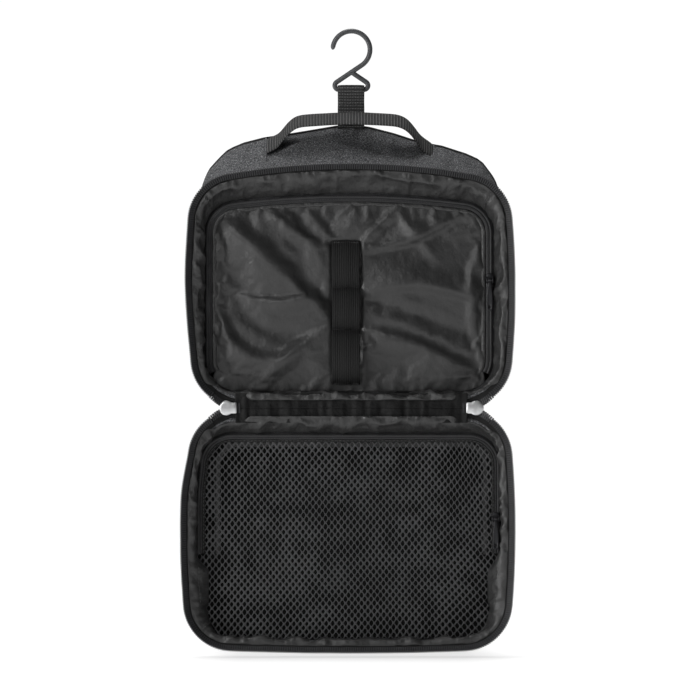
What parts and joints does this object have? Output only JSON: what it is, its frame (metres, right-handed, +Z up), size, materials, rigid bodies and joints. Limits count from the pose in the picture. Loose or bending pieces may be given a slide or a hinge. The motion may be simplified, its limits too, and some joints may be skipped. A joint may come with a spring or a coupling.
{
  "type": "hanging toiletry bag",
  "caption": "Soft toiletry bag hung open by a hook: two zip-rimmed trays on a fabric spine, elastic loops, mesh pocket.",
  "frame": {"origin": "centre of the hook's round seat", "axes": "+Z up, +X to the right as the user sees the open bag, +Y from the user towards the wall behind it"},
  "size_m": [0.23, 0.05, 0.4398],
  "materials": {
    "shell_fabric": "matte",
    "lining_nylon": "satin",
    "mesh_net": "satin",
    "webbing": "matte",
    "elastic_webbing": "matte",
    "binding_tape": "matte",
    "zip_tape": "matte",
    "zip_chain": "satin",
    "padding_foam": "matte",
    "sewing_thread": "matte",
    "hook_plastic": "satin",
    "nickel_slider": "satin",
    "black_slider": "satin"
  },
  "bodies": {
    "hook_body": {"hook": "hook_plastic"},
    "hang_strap_body": {"hang_strap": "webbing"},
    "upper_half": {"upper_gusset": "shell_fabric", "upper_back_panel": "shell_fabric", "upper_back_foam": "padding_foam", "upper_gusset_padding": "padding_foam", "upper_seam_binding": "binding_tape", "upper_lining": "lining_nylon", "upper_facing": "lining_nylon", "upper_zip_tape": "zip_tape", "upper_zip_teeth": "zip_chain", "lining_pocket_panel": "lining_nylon", "lining_pocket_zip_tape": "zip_tape", "lining_pocket_zip_chain": "zip_chain", "elastic_loops": "elastic_webbing", "elastic_bartacks": "sewing_thread", "strap_anchor": "webbing", "handle_anchor_left": "webbing", "handle_anchor_right": "webbing"},
    "carry_handle_body": {"carry_handle": "webbing"},
    "lining_pocket_slider_body": {"lining_pocket_slider": "black_slider"},
    "lining_pocket_pull_body": {"lining_pocket_pull": "black_slider"},
    "spine": {"spine_outer": "shell_fabric", "spine_lining": "lining_nylon", "closed_chain_left": "zip_chain", "closed_chain_right": "zip_chain", "main_slider_left": "nickel_slider", "main_slider_right": "nickel_slider"},
    "main_pull_left_body": {"main_pull_left": "nickel_slider"},
    "main_pull_right_body": {"main_pull_right": "nickel_slider"},
    "lower_half": {"lower_gusset": "shell_fabric", "lower_back_panel": "shell_fabric", "lower_back_foam": "padding_foam", "lower_gusset_padding": "padding_foam", "lower_seam_binding": "binding_tape", "lower_lining": "lining_nylon", "lower_facing": "lining_nylon", "lower_zip_tape": "zip_tape", "lower_zip_teeth": "zip_chain", "mesh_pocket_panel": "mesh_net", "mesh_pocket_binding": "binding_tape", "mesh_pocket_zip_tape": "zip_tape", "mesh_pocket_zip_chain": "zip_chain"},
    "mesh_pocket_slider_body": {"mesh_pocket_slider": "black_slider"},
    "mesh_pocket_pull_body": {"mesh_pocket_pull": "black_slider"}
  },
  "joints": [
    {"name": "hook_pivot", "type": "hinge", "parent": "hook_body", "child": "hang_strap_body", "pos_m": [0, 0, -0.0282], "axis": [1, 0, 0], "range_deg": [-75, 75]},
    {"name": "strap_flex", "type": "hinge", "parent": "hang_strap_body", "child": "upper_half", "pos_m": [0, 0, -0.053], "axis": [1, 0, 0], "range_deg": [-5, 115]},
    {"name": "handle_swing", "type": "hinge", "parent": "upper_half", "child": "carry_handle_body", "pos_m": [0, -0.007, -0.0675], "axis": [1, 0, 0], "range_deg": [-5, 28]},
    {"name": "lining_pocket_zip", "type": "slide", "parent": "upper_half", "child": "lining_pocket_slider_body", "axis": [0, 0, 1], "range_m": [-0.038, 0.018]},
    {"name": "lining_pocket_pull_flip", "type": "hinge", "parent": "lining_pocket_slider_body", "child": "lining_pocket_pull_body", "pos_m": [0.0973, -0.0326, -0.1629], "axis": [-1, 0, 0], "range_deg": [0, 165]},
    {"name": "spine_fold", "type": "hinge", "parent": "upper_half", "child": "spine", "pos_m": [0, -0.04, -0.2459], "axis": [-1, 0, 0], "range_deg": [0, 90]},
    {"name": "lower_fold", "type": "hinge", "parent": "spine", "child": "lower_half", "pos_m": [0, -0.04, -0.2599], "axis": [-1, 0, 0], "range_deg": [0, 90]},
    {"name": "main_pull_left_flip", "type": "hinge", "parent": "spine", "child": "main_pull_left_body", "pos_m": [-0.0868, -0.0355, -0.2529], "axis": [0, 0, 1], "range_deg": [0, 160]},
    {"name": "main_pull_right_flip", "type": "hinge", "parent": "spine", "child": "main_pull_right_body", "pos_m": [0.0868, -0.0355, -0.2529], "axis": [0, 0, -1], "range_deg": [0, 160]},
    {"name": "mesh_pocket_zip", "type": "slide", "parent": "lower_half", "child": "mesh_pocket_slider_body", "axis": [0, 0, 1], "range_m": [-0.019, 0.02]},
    {"name": "mesh_pocket_pull_flip", "type": "hinge", "parent": "mesh_pocket_slider_body", "child": "mesh_pocket_pull_body", "pos_m": [0.0996, -0.0346, -0.3309], "axis": [-1, 0, 0], "range_deg": [0, 165]}
  ],
  "couplings": [
    {"joint": "lower_fold", "follows": "spine_fold", "ratio": 1}
  ]
}
